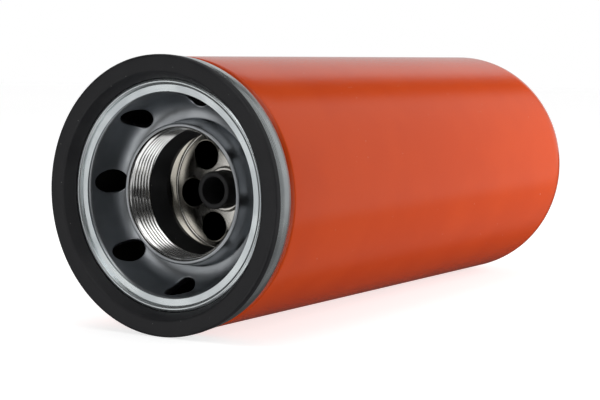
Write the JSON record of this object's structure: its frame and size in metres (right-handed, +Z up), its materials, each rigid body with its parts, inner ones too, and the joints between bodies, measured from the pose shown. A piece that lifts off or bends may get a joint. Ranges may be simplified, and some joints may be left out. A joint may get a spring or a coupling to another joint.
{
  "type": "oil filter",
  "caption": "Spin-on oil filter: painted can with a rounded closed end, rolled seam, rubber gasket and a threaded nut plate, holding a full-flow element and a sprung bypass element.",
  "frame": {"origin": "on the filter's axis at the first crest of the mounting thread", "axes": "+Y along the axis from the open mounting end to the closed end, +Z up as the filter lies on its side, +X to the right seen from the mounting end"},
  "size_m": [0.1198, 0.304, 0.1198],
  "materials": {
    "can_paint": "gloss paint with fine orange peel",
    "bare_steel": "bare rolled sheet",
    "zinc_plate": "zinc plated",
    "gasket_rubber": "matte moulded rubber",
    "seal_rubber": "matte moulded rubber",
    "cap_steel": "bright tinned sheet",
    "nozzle_plastic": "matte moulded plastic",
    "media_paper": "resin treated filter paper",
    "disc_cellulose": "pressed cellulose",
    "adhesive": "cured adhesive",
    "spring_steel": "drawn spring wire"
  },
  "bodies": {
    "housing": {"shell": "can_paint", "seam_lid": "bare_steel", "gasket": "gasket_rubber", "nut_plate": "zinc_plate", "spring": "spring_steel"},
    "element_pack": {"element_seal": "seal_rubber", "top_cap": "cap_steel", "bypass_nozzle": "nozzle_plastic", "full_flow_tube": "cap_steel", "full_flow_media": "media_paper", "media_clip": "bare_steel", "top_bead": "adhesive", "bottom_bead": "adhesive", "bottom_cap": "cap_steel", "nozzle_grommet": "seal_rubber", "bypass_top_plate": "cap_steel", "filter_discs": "disc_cellulose", "hub_rings": "bare_steel", "bypass_tube": "cap_steel", "bypass_base_plate": "cap_steel", "spring_seat": "bare_steel"}
  },
  "joints": [
    {"name": "element_float", "type": "slide", "parent": "housing", "child": "element_pack", "axis": [0, 1, 0], "range_m": [0, 0.012], "stiffness_N_per_m": 6000, "springref_m": -0.012, "deforming": ["spring"]}
  ]
}
